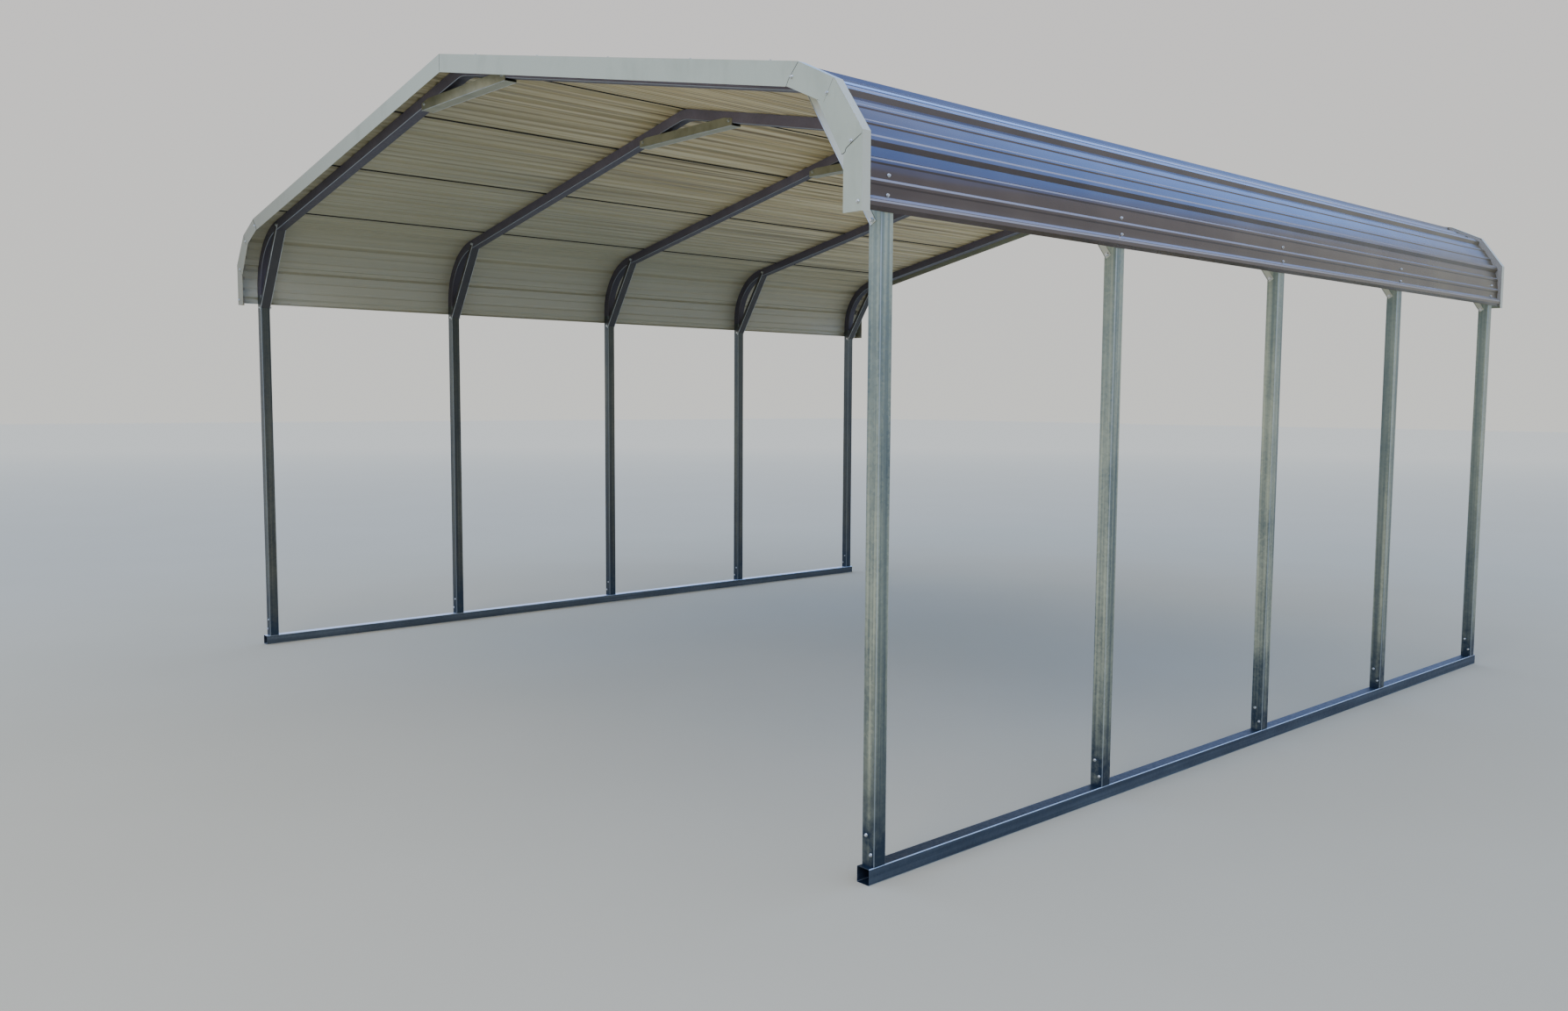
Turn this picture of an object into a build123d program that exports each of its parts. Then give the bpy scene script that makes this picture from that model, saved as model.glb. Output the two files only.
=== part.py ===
from build123d import *
from math import atan2, ceil, cos, pi, radians, sin, sqrt, tan
import os

os.makedirs("parts", exist_ok=True)

# Steel carport for two cars: five bent tube frames on two base rails under a ribbed sheet roof.
# X runs across, Y from the front end (negative) to the back end, Z up. The origin is on the
# ground in the middle of the footprint. Millimetres.

# Frame
frame_width = 6180.0            # over the outer faces of the legs
frame_length = 6096.0           # length of a base rail
frame_count = 5
frame_setback = 25.0            # from the end of a rail to the first leg
tube = 63.5                     # square tube of the rails, legs and bows
tube_wall = 2.0
tube_corner = 4.0               # outer corner radius of rails and legs
bow_edge = 2.5                  # bevel along the edges of the bent tube
leg_top = 2540.0                # joint between a leg and a bow
bow_foot = 33.0                 # straight end of a bow under its bend
pitch = radians(11.6)
eave_radius = 465.0             # outside of the bent bow at the eave
ridge_radius = 300.0            # outside of the bent bow at the ridge
stub_height = 150.0             # welded on the rail, inside the foot of a leg
stub_gap = 0.5
stub_wall = 2.0

# Braces, folded channel that straddles the tubes
brace_wall = 2.0
knee_depth = 30.0
knee_lean = radians(33.0)       # from the vertical
knee_bolt_drop = 86.0           # lower bolt under the top of the leg
knee_inset = 16.0               # lower bolt from the middle of the leg to the inside
knee_end = 15.0                 # metal past the bolt at both ends
peak_depth = 55.0
peak_length = 920.0
peak_gap = 12.0                 # between the web and the bow at the ends
peak_overlap = 26.0             # flange over the side of the bow, cut along its slope

# Roof sheets
sheet = 2.0
roof_overhang = 100.0           # past the ends of the rails
skirt_length = 93.0             # straight part under the bend
rib_spacing = 228.6             # nominal; the ribs are spread evenly over the slope
rib_height = 19.0
rib_base = 25.0                 # half width where the rib leaves the sheet
rib_top = 11.0                  # half width of its flat top
ridge_rib = 55.0                # from the ridge to the middle of the topmost rib
minor_height = 4.0
minor_base = 12.0
minor_top = 6.0
lap_cut = 6.0                   # the covered edge stops this far above the tubes
ridge_gap = 8.0                 # half of the slot between the two top sheets
cap_wing = 150.0
cap_hem = 10.0

# Gable trim, folded angle
trim_sheet = 1.5
trim_face = 92.0
trim_return = 40.0
trim_drop = 13.0                # below the sheets at the eave
trim_flats = [(radians(26.0), -1.5), (radians(54.7), 10.0)]     # slope, and extra distance from the bend

# Values that follow from the ones above
half_width = frame_width / 2
half_length = frame_length / 2
roof_end = half_length + roof_overhang
frame_spacing = (frame_length - tube - 2 * frame_setback) / (frame_count - 1)
bore = tube - 2 * tube_wall
bore_corner = (tube_corner - tube_wall) * (2 - sqrt(2))         # leaves the full wall at a corner
half_tube = tube / 2
half_brace = half_tube + brace_wall
side_x = half_width - half_tube
arc_x = half_width - eave_radius
arc_z = leg_top + bow_foot
slope_length = (arc_x + eave_radius * sin(pitch)) / cos(pitch)
ridge_height = arc_z + slope_length * sin(pitch) + eave_radius * cos(pitch)
arc_end = slope_length + eave_radius * (pi / 2 - pitch)
sheet_end = arc_end + skirt_length
rib_run = sheet_end - rib_base - ridge_rib
rib_steps = round(rib_run / rib_spacing)
rib_crown = rib_height + sheet
lap_crown = rib_crown + sheet
rib_flank = atan2(rib_height, rib_base - rib_top)


def section(s, h):
    """Point of the right half of the roof: s along the tube line from the ridge, h above it."""
    if s <= slope_length:
        return (s * cos(pitch) + h * sin(pitch), ridge_height - s * sin(pitch) + h * cos(pitch))
    if s <= arc_end:
        turn = pitch + (s - slope_length) / eave_radius
        return (arc_x + (eave_radius + h) * sin(turn), arc_z + (eave_radius + h) * cos(turn))
    return (half_width + h, arc_z - (s - arc_end))


def polygon(points):
    return make_face(Polyline(*points, close=True))


def extrude_y(face, start, stop):
    """Solid of a face drawn in X and Z, from one value of Y to another."""
    placed = Plane(origin=(0, start, 0), x_dir=(1, 0, 0), z_dir=(0, -1, 0)) * face
    return extrude(placed, amount=start - stop)


def save(name, solid):
    export_step(solid, f"parts/{name}.step")


def save_pair(name, solid):
    """A piece of the right side and its mirror image on the left."""
    save(f"right_{name}", solid)
    save(f"left_{name}", mirror(solid, about=Plane.YZ))


def frame_place(number):
    """Place of a frame, counted from the front."""
    first = -half_length + frame_setback + half_tube
    return Pos(0, first + number * frame_spacing, 0)


def square_tube(length):
    """Hollow tube that stands on the origin."""
    outer = RectangleRounded(tube, tube, tube_corner)
    inner = chamfer(Rectangle(bore, bore).vertices(), bore_corner)
    return extrude(outer - inner, amount=length)


def bow_profile(top, bottom, foot):
    """Face of a bow between two depths under the tube line."""
    corners = []
    bends = []
    for depth, order in ((top, 1), (bottom, -1)):
        x = half_width - depth
        line = ridge_height - depth / cos(pitch)
        z = line - x * tan(pitch)
        corners += [(x, foot), (x, z), (0, line), (-x, z), (-x, foot)][::order]
        bends += [(x, z, eave_radius - depth), (-x, z, eave_radius - depth)]
        bends += [(0, line, ridge_radius - depth)]
    face = polygon(corners)
    for x, z, radius in bends:
        corner = face.vertices().sort_by_distance((x, z, 0))[0]
        face = fillet(corner, radius)
    return face


def rib_corners(centre, base, top, height):
    """Corners of a rib on the under skin as s, h and the sideways step of the upper skin."""
    step = tan(atan2(height, base - top) / 2)
    return [
        (centre - base, 0, -step),
        (centre - top, height, -step),
        (centre + top, height, step),
        (centre + base, 0, step),
    ]


def covered_rib(centre):
    """Rib at the upper edge of a sheet, cut short on the side of the ridge."""
    corners = rib_corners(centre, rib_base, rib_top, rib_height)
    cut = centre - rib_base + lap_cut / tan(rib_flank)
    return [(cut, lap_cut, corners[0][2])] + corners[1:]


def covering_rib(centre):
    """Rib at the lower edge of a sheet, which lies on the covered rib of the next sheet."""
    step = tan(rib_flank / 2)
    return [
        (centre - rib_base - sheet / sin(rib_flank), 0, -step),
        (centre - rib_top - step * sheet, rib_crown, -step),
        (centre + rib_top + step * sheet, rib_crown, step),
        (centre + rib_base + step * sheet, sheet, step),
    ]


def skin(points):
    """Edges through points of the roof section, bent around the eave where they follow it."""
    edges = []
    for (s0, h0), (s1, h1) in zip(points, points[1:]):
        if h0 != h1:
            edges.append(Line(section(s0, h0), section(s1, h1)))
            continue
        stops = [s0] + [s for s in (slope_length, arc_end) if s0 < s < s1] + [s1]
        for a, b in zip(stops, stops[1:]):
            middle = (a + b) / 2
            if slope_length < middle < arc_end:
                edges.append(ThreePointArc(section(a, h0), section(middle, h0), section(b, h0)))
            else:
                edges.append(Line(section(a, h0), section(b, h0)))
    return edges


def roof_sheet(lowest, highest):
    """Sheet between two ribs, counted up from the eave; the topmost one ends at the ridge."""
    rib_step = rib_run / rib_steps
    at_ridge = highest == rib_steps
    corners = [(ridge_gap, 0, 0)] if at_ridge else []
    for index in range(highest, lowest - 1, -1):
        centre = sheet_end - rib_base - index * rib_step
        if index == highest and not at_ridge:
            corners += covered_rib(centre)
        elif index == lowest and lowest > 0:
            corners += covering_rib(centre)
        else:
            corners += rib_corners(centre, rib_base, rib_top, rib_height)
        if index > lowest:
            for part in (1, 2):
                middle = centre + part * rib_step / 3
                corners += rib_corners(middle, minor_base, minor_top, minor_height)
    under = [(s, h) for s, h, step in corners]
    over = [(s + step * sheet, h + sheet) for s, h, step in corners]
    ends = [Line(section(*under[i]), section(*over[i])) for i in (0, -1)]
    face = make_face(Wire(skin(under) + skin(over) + ends))
    return extrude_y(face, -roof_end, roof_end)


def trim_line(h):
    """Folded line at the height h above the tubes, from the ridge to the foot of the trim."""
    points = [(0, ridge_height + h / cos(pitch))]
    flats = [(pitch, 0.0)] + trim_flats + [(pi / 2, 0.0)]
    for (a, extra_a), (b, extra_b) in zip(flats, flats[1:]):
        reach_a = eave_radius + h + extra_a
        reach_b = eave_radius + h + extra_b
        x = (reach_b * cos(a) - reach_a * cos(b)) / sin(b - a)
        z = (reach_a * sin(b) - reach_b * sin(a)) / sin(b - a)
        points.append((arc_x + x, arc_z + z))
    points.append((half_width + h, arc_z - skirt_length - trim_drop))
    return points


def strip(top, bottom):
    return polygon(trim_line(top) + trim_line(bottom)[::-1])


# Base rails, each with a stub under every leg
rail = Pos(side_x, -half_length, half_tube) * Rot(-90, 0, 0) * square_tube(frame_length)
stub_size = bore - 2 * stub_gap
stub_bore = stub_size - 2 * stub_wall
stub_outline = chamfer(Rectangle(stub_size, stub_size).vertices(), 2 * stub_gap)
stub_face = stub_outline - Rectangle(stub_bore, stub_bore)
stub = Pos(side_x, 0, tube) * extrude(stub_face, amount=stub_height)
for number in range(frame_count):
    rail += frame_place(number) * stub
save_pair("base_rail", rail)

# Legs and bows, drawn for a frame at Y zero
leg = Pos(side_x, 0, tube) * square_tube(leg_top - tube)
leg_side = Pos(side_x, leg_top / 2) * Rectangle(tube, leg_top)
bow_side = bow_profile(0, tube, leg_top)
bow_bore = bow_profile(tube_wall, tube - tube_wall, leg_top)
bow = extrude_y(bow_side, -half_tube, half_tube)
bow_edges = bow.faces().filter_by(Axis.Y).edges()
long_edges = bow_edges.filter_by(lambda edge: edge.center().Z > leg_top + bow_edge)
bow = chamfer(long_edges, bow_edge)
bow -= extrude_y(bow_bore, -half_tube + tube_wall, half_tube - tube_wall)

# Knee brace, from a bolt in the leg to a bolt in the slope of the bow
knee_bolt_x = side_x - knee_inset
knee_bolt_height = leg_top - knee_bolt_drop
bow_line = ridge_height - half_tube / cos(pitch)
knee_rise = bow_line - knee_bolt_x * tan(pitch) - knee_bolt_height
knee_span = knee_rise / (cos(knee_lean) - sin(knee_lean) * tan(pitch))


def knee_point(along, across):
    """Point of the right knee brace: along it from the lower bolt, across it to the inside."""
    return (
        knee_bolt_x - along * sin(knee_lean) - across * cos(knee_lean),
        knee_bolt_height + along * cos(knee_lean) - across * sin(knee_lean),
    )


def knee_plate(inner, outer):
    reach = (-knee_end, knee_span + knee_end)
    corners = [(reach[0], outer), (reach[1], outer), (reach[1], inner), (reach[0], inner)]
    return polygon([knee_point(*corner) for corner in corners])


knee_flange = knee_plate(-knee_depth / 2, knee_depth / 2)
knee_web = knee_plate(knee_depth / 2 - brace_wall, knee_depth / 2) - bow_side - leg_side
knee_brace = extrude_y(knee_flange, -half_brace, half_brace)
knee_brace -= extrude_y(knee_flange, -half_tube, half_tube)
knee_brace += extrude_y(knee_web, -half_brace, half_brace)

# Peak brace, whose web passes just under the bow at both ends
peak_web_top = ridge_height - tube / cos(pitch) - peak_length / 2 * tan(pitch) - peak_gap
peak_bottom = peak_web_top - brace_wall
peak_cut = bow_profile(0, tube - peak_overlap, leg_top)
peak_flange = Pos(0, peak_bottom + peak_depth / 2) * Rectangle(peak_length, peak_depth) - peak_cut
peak_room = Pos(0, peak_web_top + peak_depth / 2) * Rectangle(peak_length, peak_depth)
peak_brace = extrude_y(peak_flange, -half_brace, half_brace)
peak_brace -= extrude_y(peak_room, -half_tube, half_tube)

# Frames
for number in range(frame_count):
    place = frame_place(number)
    save_pair(f"leg_{number + 1}", place * leg)
    save_pair(f"knee_brace_{number + 1}", place * knee_brace)
    save(f"roof_bow_{number + 1}", place * bow)
    save(f"peak_brace_{number + 1}", place * peak_brace)

# Roof sheets, from the eave up
courses = ["eave_sheet", "lower_roof_sheet", "middle_roof_sheet", "upper_roof_sheet"]
laps = [ceil(course * rib_steps / len(courses)) for course in range(len(courses) + 1)]
for name, lowest, highest in zip(courses, laps, laps[1:]):
    save_pair(name, roof_sheet(lowest, highest))

# Ridge cap, which lies on the topmost ribs and under the trims
cap = [(0, rib_crown), (cap_wing, rib_crown), (cap_wing, rib_crown - cap_hem)]
cap += [(cap_wing + sheet, rib_crown - cap_hem), (cap_wing + sheet, rib_crown + sheet)]
right_cap = [section(s, h) for s, h in cap]
peak_under = (0, ridge_height + rib_crown / cos(pitch))
peak_over = (0, ridge_height + (rib_crown + sheet) / cos(pitch))
outline = [peak_under] + right_cap[1:] + [peak_over]
outline += [(-x, z) for x, z in right_cap[:0:-1]]
save("ridge_cap", extrude_y(polygon(outline), -roof_end, roof_end))

# Gable trims
edge_line = lap_crown + trim_sheet
trim = extrude_y(strip(edge_line, edge_line - trim_face), roof_end, roof_end + trim_sheet)
trim += extrude_y(strip(edge_line, lap_crown), roof_end - trim_return, roof_end + trim_sheet)
for end, solid in (("back", trim), ("front", mirror(trim, about=Plane.XZ))):
    save(f"{end}_right_gable_trim", solid)
    save(f"{end}_left_gable_trim", mirror(solid, about=Plane.YZ))
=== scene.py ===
# %% [markdown]
# # A steel carport for two cars
#
# The real thing is a kit: square galvanised tube is bent into five frames, ribbed sheets are
# screwed across them, and a folded trim closes both gable ends. The solids of these parts come
# packed from the construction model. This lesson dresses them: it gives every part the finish that
# its real material has, adds screws, bolts, sealant, closures and lapped trim plates, and sets up a
# camera, a floor and soft light.
#
# Everything is in metres. X runs across, Y from the front end to the back end, Z up.

from math import cos, pi, radians, sin, tan

import bmesh
import bpy
from mathutils import Matrix, Vector


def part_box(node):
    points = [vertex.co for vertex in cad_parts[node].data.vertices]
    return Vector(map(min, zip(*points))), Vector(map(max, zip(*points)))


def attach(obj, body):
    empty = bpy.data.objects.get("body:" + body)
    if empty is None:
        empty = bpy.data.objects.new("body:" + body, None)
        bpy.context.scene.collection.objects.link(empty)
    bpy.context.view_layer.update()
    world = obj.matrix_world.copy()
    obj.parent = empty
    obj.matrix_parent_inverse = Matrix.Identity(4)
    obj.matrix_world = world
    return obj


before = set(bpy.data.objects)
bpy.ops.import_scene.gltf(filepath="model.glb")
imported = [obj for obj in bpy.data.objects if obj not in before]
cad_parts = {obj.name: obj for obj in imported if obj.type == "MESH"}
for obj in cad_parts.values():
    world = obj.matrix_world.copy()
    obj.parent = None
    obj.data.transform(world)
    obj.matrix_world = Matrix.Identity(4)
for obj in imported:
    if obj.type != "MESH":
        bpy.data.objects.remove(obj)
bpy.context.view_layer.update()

# %% [markdown]
# ## The camera first
#
# The photograph was taken at eye height, just outside the right side and in front of the carport.
# A camera could be placed by eye and nudged, but a solved one is better, because then every edge
# can be compared with the photograph. The numbers below come from a least squares fit.
#
# Blender's camera looks along its own -Z axis, so the matrix has the right, up and backward
# directions as its columns.

# %% Camera
PHOTO_WIDTH = 1787
FOCAL_PIXELS = 1423.97
SENSOR_MM = 36.0
YAW, TILT, ROLL = 0.8335, -0.0832, 0.0056
EYE = (6.2214, -6.3307, 1.8008)


def camera_axes(yaw, tilt, roll):
    forward = Vector((-sin(yaw) * cos(tilt), cos(yaw) * cos(tilt), sin(tilt)))
    level = Vector((cos(yaw), sin(yaw), 0))
    upward = level.cross(forward)
    right = cos(roll) * level + sin(roll) * upward
    up = cos(roll) * upward - sin(roll) * level
    return Matrix((right, up, -forward)).transposed()


lens = bpy.data.cameras.new("eye_level_camera")
lens.sensor_width = SENSOR_MM
lens.lens = SENSOR_MM * FOCAL_PIXELS / PHOTO_WIDTH
camera = bpy.data.objects.new("eye_level_camera", lens)
camera.matrix_world = Matrix.Translation(EYE) @ camera_axes(YAW, TILT, ROLL).to_4x4()
bpy.context.scene.collection.objects.link(camera)
bpy.context.scene.camera = camera
print("lens", round(lens.lens, 2), "mm")

# %% [markdown]
# ## Sizes that the small parts need
#
# Screws, sealant and trim plates sit on the sheets and tubes, so their places follow from the same
# sizes as the solids. What a solid's box can tell is read from there; the rest is written once.
#
# The roof is easiest to think of unrolled. A place on it is the distance s from the ridge along the
# tubes, down the slope, round the bend and down the skirt, and the height h above the tubes.

# %% Sizes
leg_low, leg_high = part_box("right_leg_1")
tube = leg_high.y - leg_low.y
half_width = leg_high.x
leg_top = leg_high.z
leg_x = half_width - tube / 2
roof_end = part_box("right_eave_sheet")[1].y
frame_ys = [sum(c.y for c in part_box(f"right_leg_{n}")) / 2 for n in range(1, 6)]

PITCH = radians(11.6)    # slope of the roof
EAVE_RADIUS = 0.465      # outside of the bow's bend
BOW_FOOT = 0.033         # straight end of the bow, on the leg
SKIRT = 0.093            # straight end of the sheet, below the bend
SHEET = 0.002
RIB_HEIGHT = 0.019
RIB_BASE = 0.025         # half the width of a rib's foot
RIB_STEPS = 15           # from the hem rib up to the topmost one
RIDGE_RIB = 0.055        # distance of the topmost rib from the ridge
LAP_RIBS = (4, 8, 12)    # where a sheet laps over the one below, counted from the hem
SIDES = (("right", 1), ("left", -1))
ENDS = (("front", -1), ("back", 1))
arc_x = half_width - EAVE_RADIUS
arc_z = leg_top + BOW_FOOT
slope_length = (arc_x + EAVE_RADIUS * sin(PITCH)) / cos(PITCH)
ridge_z = arc_z + slope_length * sin(PITCH) + EAVE_RADIUS * cos(PITCH)
arc_end = slope_length + EAVE_RADIUS * (pi / 2 - PITCH)
sheet_end = arc_end + SKIRT
rib_step = (sheet_end - RIB_BASE - RIDGE_RIB) / RIB_STEPS


def on_roof(s, h):
    """Point (x, z) and outward normal (x, z) of a place on the unrolled roof."""
    if s <= slope_length:
        turn, x, z = PITCH, s * cos(PITCH), ridge_z - s * sin(PITCH)
    elif s <= arc_end:
        turn = PITCH + (s - slope_length) / EAVE_RADIUS
        x, z = arc_x + EAVE_RADIUS * sin(turn), arc_z + EAVE_RADIUS * cos(turn)
    else:
        turn, x, z = pi / 2, half_width, arc_z - (s - arc_end)
    return (x + h * sin(turn), z + h * cos(turn)), (sin(turn), cos(turn))


print("ridge", round(ridge_z, 4), "rib step", round(rib_step * 1000, 1), "mm")

# %% [markdown]
# ## Colours and nodes
#
# Paint cards and screens give colours as sRGB hex values, while Blender's nodes calculate with
# linear light, so one function turns the one into the other. Another adds a node with its settings
# and links and gives its outputs, which keeps each material short enough to read.
#
# Two steps come back in almost every finish. A pattern's scale is how often it repeats in a metre,
# which follows from its real size in millimetres. And weather lays one colour over another, more
# and more as some measure, such as the height, runs from one value to another. A Mix node has
# sockets for every kind of value, so its sockets for colours are called by number.

# %% Helpers for materials
FIRST, SECOND, MIXED = 6, 7, 2


def linear(hex_colour):
    values = [int(hex_colour[i:i + 2], 16) / 255 for i in (1, 3, 5)]
    return [v / 12.92 if v <= 0.04045 else ((v + 0.055) / 1.055) ** 2.4 for v in values] + [1.0]


def set_inputs(tree, node, inputs):
    """Gives each input a link from a socket, a colour from a hex value, or a plain value."""
    for name, value in inputs.items():
        if isinstance(value, bpy.types.NodeSocket):
            tree.links.new(value, node.inputs[name])
        else:
            node.inputs[name].default_value = linear(value) if isinstance(value, str) else value


def add(tree, kind, inputs=None, stops=(), **settings):
    """Adds a node and gives its outputs. Stops are the (position, hex colour) of a ramp."""
    node = tree.nodes.new(kind)
    for name, value in settings.items():
        setattr(node, name, value)
    set_inputs(tree, node, inputs or {})
    for index, (position, colour) in enumerate(stops):
        elements = node.color_ramp.elements
        element = elements[index] if index < len(elements) else elements.new(position)
        element.position = position
        element.color = linear(colour)
    return node.outputs


def new_material(name):
    material = bpy.data.materials.new(name)
    material.use_nodes = True
    tree = material.node_tree
    return material, tree, tree.nodes["Principled BSDF"]


def per_metre(size_mm):
    """Repeats per metre of a pattern, from its size in millimetres or its sizes along X, Y, Z."""
    return [1000 / size for size in size_mm] if isinstance(size_mm, tuple) else 1000 / size_mm


def lay_over(tree, base, colour, measure, start, end, most=1.0, pattern=None):
    """Lays a colour over another: not at all where the measure is at start, and most at end.
    A pattern breaks the layer up."""
    share = add(tree, "ShaderNodeMapRange",
                {"Value": measure, "From Min": start, "From Max": end, "To Max": most})[0]
    if pattern:
        share = add(tree, "ShaderNodeMath", {0: share, 1: pattern}, operation="MULTIPLY",
                    use_clamp=True)[0]
    return add(tree, "ShaderNodeMix", {0: share, FIRST: base, SECOND: colour},
               data_type="RGBA")[MIXED]


print("mid grey in linear light:", round(linear("#808080")[0], 3))

# %% [markdown]
# ## Galvanised steel tube
#
# The tube is cold formed from strip that was galvanised first. Zinc crystals show as faint spangle
# about 12 mm across, and the forming rolls leave streaks 13 mm wide and a metre long. Clouds of
# dull and bright zinc, about 320 mm across, lie under them, and duller bands, two streaks wide,
# over them.
#
# Spangle could be an image, but a Voronoi texture has no seams and no edge. Streaks are noise that
# is stretched along the tube, and bands are broader noise in the same stretched coordinates.

# %% Zinc pattern
SPANGLE_MM = 12
CLOUD_MM = 322.58
BAND_SCALE = 0.45    # a band is a little over two streaks wide, about 30 mm


def zinc_pattern(tree, spot, streak_mm, dull, bright):
    """Colour of the zinc, its streaks, and a value that differs from crystal to crystal."""
    cells = add(tree, "ShaderNodeTexVoronoi", {"Vector": spot, "Scale": per_metre(SPANGLE_MM)})
    spangle = add(tree, "ShaderNodeSeparateColor", {"Color": cells["Color"]})
    along = add(tree, "ShaderNodeMapping", {"Vector": spot, "Scale": per_metre(streak_mm)})[0]
    streaks = add(tree, "ShaderNodeTexNoise", {"Vector": along, "Scale": 1.0, "Detail": 3.0})["Fac"]
    clouds = add(tree, "ShaderNodeTexNoise",
                 {"Vector": spot, "Scale": per_metre(CLOUD_MM), "Detail": 4.0})["Fac"]
    tone = add(tree, "ShaderNodeMath", {0: streaks, 1: 0.62}, operation="MULTIPLY")[0]
    tone = add(tree, "ShaderNodeMath", {0: spangle["Red"], 1: 0.07, 2: tone},
               operation="MULTIPLY_ADD")[0]
    tone = add(tree, "ShaderNodeMath", {0: clouds, 1: 0.38, 2: tone}, operation="MULTIPLY_ADD")[0]
    zinc = add(tree, "ShaderNodeValToRGB", {"Fac": tone}, [(0.36, dull), (0.70, bright)])["Color"]
    wide = add(tree, "ShaderNodeMapping", {"Vector": along, "Scale": [BAND_SCALE] * 3})[0]
    bands = add(tree, "ShaderNodeTexNoise", {"Vector": wide, "Scale": 1.0, "Detail": 1.0})["Fac"]
    zinc = lay_over(tree, zinc, dull, bands, 0.44, 0.6, 0.65)
    return zinc, streaks, spangle["Green"]


print("spangle repeats", round(per_metre(SPANGLE_MM), 1), "times a metre")

# %% [markdown]
# ### Weather and painted shade on the tubes
#
# After some months outdoors the zinc is dull. Higher up, where the roof shelters it, it keeps a
# tone of its own. Toward the left side it is darker, which is painted shade, and the lowest half
# metre is painted a darker blue grey, as painted shade near the ground. Each is one colour laid
# over the zinc by height or by distance across, and noise 55 mm across breaks up the low shade.

# %% Weather and painted shade on the tubes
SPLASH_MM = 55.5556
SHELTER_FROM, SHELTER_TO = 0.7, 2.4    # heights
LEFT_SHADE_FROM, LEFT_SHADE_TO = 1.0, -3.0         # distances across
LOW_SHADE_TOP, LOW_SHADE_FULL = 0.55, 0.06       # heights


def weathered_and_shaded(tree, spot, zinc, sheltered, left_shade, low_shade):
    across, _, height = add(tree, "ShaderNodeSeparateXYZ", {"Vector": spot})
    zinc = lay_over(tree, zinc, sheltered, height, SHELTER_FROM, SHELTER_TO, 0.45)
    # Painted shade, darker toward the left side.
    zinc = lay_over(tree, zinc, "#323239", across, LEFT_SHADE_FROM, LEFT_SHADE_TO, left_shade)
    blotches = add(tree, "ShaderNodeTexNoise", {"Vector": spot, "Scale": per_metre(SPLASH_MM),
                                                "Detail": 5.0, "Roughness": 0.6})["Fac"]
    # Painted shade near the ground: a darker blue grey, broken up by noise.
    return lay_over(tree, zinc, "#2f3d4c", height, LOW_SHADE_TOP, LOW_SHADE_FULL, low_shade, blotches)


print("soil reaches", LOW_SHADE_TOP, "m up the legs")

# %% [markdown]
# ### Finishes of the tubes
#
# Legs, rails and bows are the same tube. They differ in the direction of their streaks, in what the
# weather did to them, and in painted light and shade. The rails are painted a dark blue grey, a
# painted reflection of the dark ground. The top of the right rail is painted deeper still, and the
# top of the left one is painted bright, a painted reflection of the sky. The bows are painted a
# darker purple grey as shade, with more painted shade on their undersides. The rounded corners get
# a painted highlight, a fine line of light a little brighter than the faces.
#
# On a rounded corner the normal points between two axes, and on a flat face it doesn't, so the
# product of two of its parts finds the corners without any extra mesh.

# %% Galvanised tube
# Hot-dipped zinc: mid grey with a soft sheen, and a faint sparkle from crystal to crystal.
UPRIGHT_STREAK_MM = (13.3333, 13.3333, 1111.11)
RAIL_STREAK_MM = (13.3333, 1111.11, 13.3333)
BOW_STREAK_MM = (142.857, 13.3333, 142.857)    # a bow runs in X and in Z


def galvanised(name, dull, bright, sheltered, streak_mm, corners, rough, corner_highlight, painted_facing=None,
               metal=0.8, left_shade=0.76, low_shade=0.0):
    """Finish of a tube. Corners are the two axes of its section, where a painted highlight lies.
    Painted facing is painted light and shade over the faces that look up or down: a colour, the
    normal's Z where it starts and is full, and its share."""
    material, tree, surface = new_material(name)
    place = add(tree, "ShaderNodeNewGeometry")
    spot = place["Position"]
    zinc, streaks, glint = zinc_pattern(tree, spot, streak_mm, dull, bright)
    zinc = weathered_and_shaded(tree, spot, zinc, sheltered, left_shade, low_shade)
    facing = add(tree, "ShaderNodeSeparateXYZ", {"Vector": place["Normal"]})
    # Painted light and shade on the faces that look up or down.
    if painted_facing:
        colour, start, end, most = painted_facing
        zinc = lay_over(tree, zinc, colour, facing["Z"], start, end, most)
    one, other = (facing[axis] for axis in corners)
    corner = add(tree, "ShaderNodeMath", {0: one, 1: other}, operation="MULTIPLY")[0]
    corner = add(tree, "ShaderNodeMath", {0: corner}, operation="ABSOLUTE")[0]
    # Painted highlight along the rounded corners.
    zinc = lay_over(tree, zinc, "#d5e0e4", corner, 0.08, 0.4, corner_highlight)
    gloss = add(tree, "ShaderNodeMapRange",
                {"Value": glint, "To Min": rough - 0.04, "To Max": rough + 0.06})[0]
    relief = add(tree, "ShaderNodeBump",
                 {"Height": streaks, "Strength": 0.12, "Distance": 0.0005})["Normal"]
    set_inputs(tree, surface, {"Base Color": zinc, "Roughness": gloss, "Normal": relief,
                               "Metallic": metal})
    return material


upright_zinc = galvanised(
    "galvanised_tube_upright", dull="#4f5d62", bright="#c6c9ac", sheltered="#8a9b97",
    streak_mm=UPRIGHT_STREAK_MM, corners="XY", rough=0.4, corner_highlight=0.3, low_shade=2.0)
# Painted dark reflection: a dark blue grey rail, with a darker top.
rail_zinc = galvanised(
    "galvanised_tube_rail_painted_dark", dull="#3a4655", bright="#5a6775", sheltered="#3a4655",
    streak_mm=RAIL_STREAK_MM, corners="XZ", rough=0.48, corner_highlight=0.8,
    painted_facing=("#1f3447", 0.3, 0.9, 0.85), left_shade=0.0)
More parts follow.
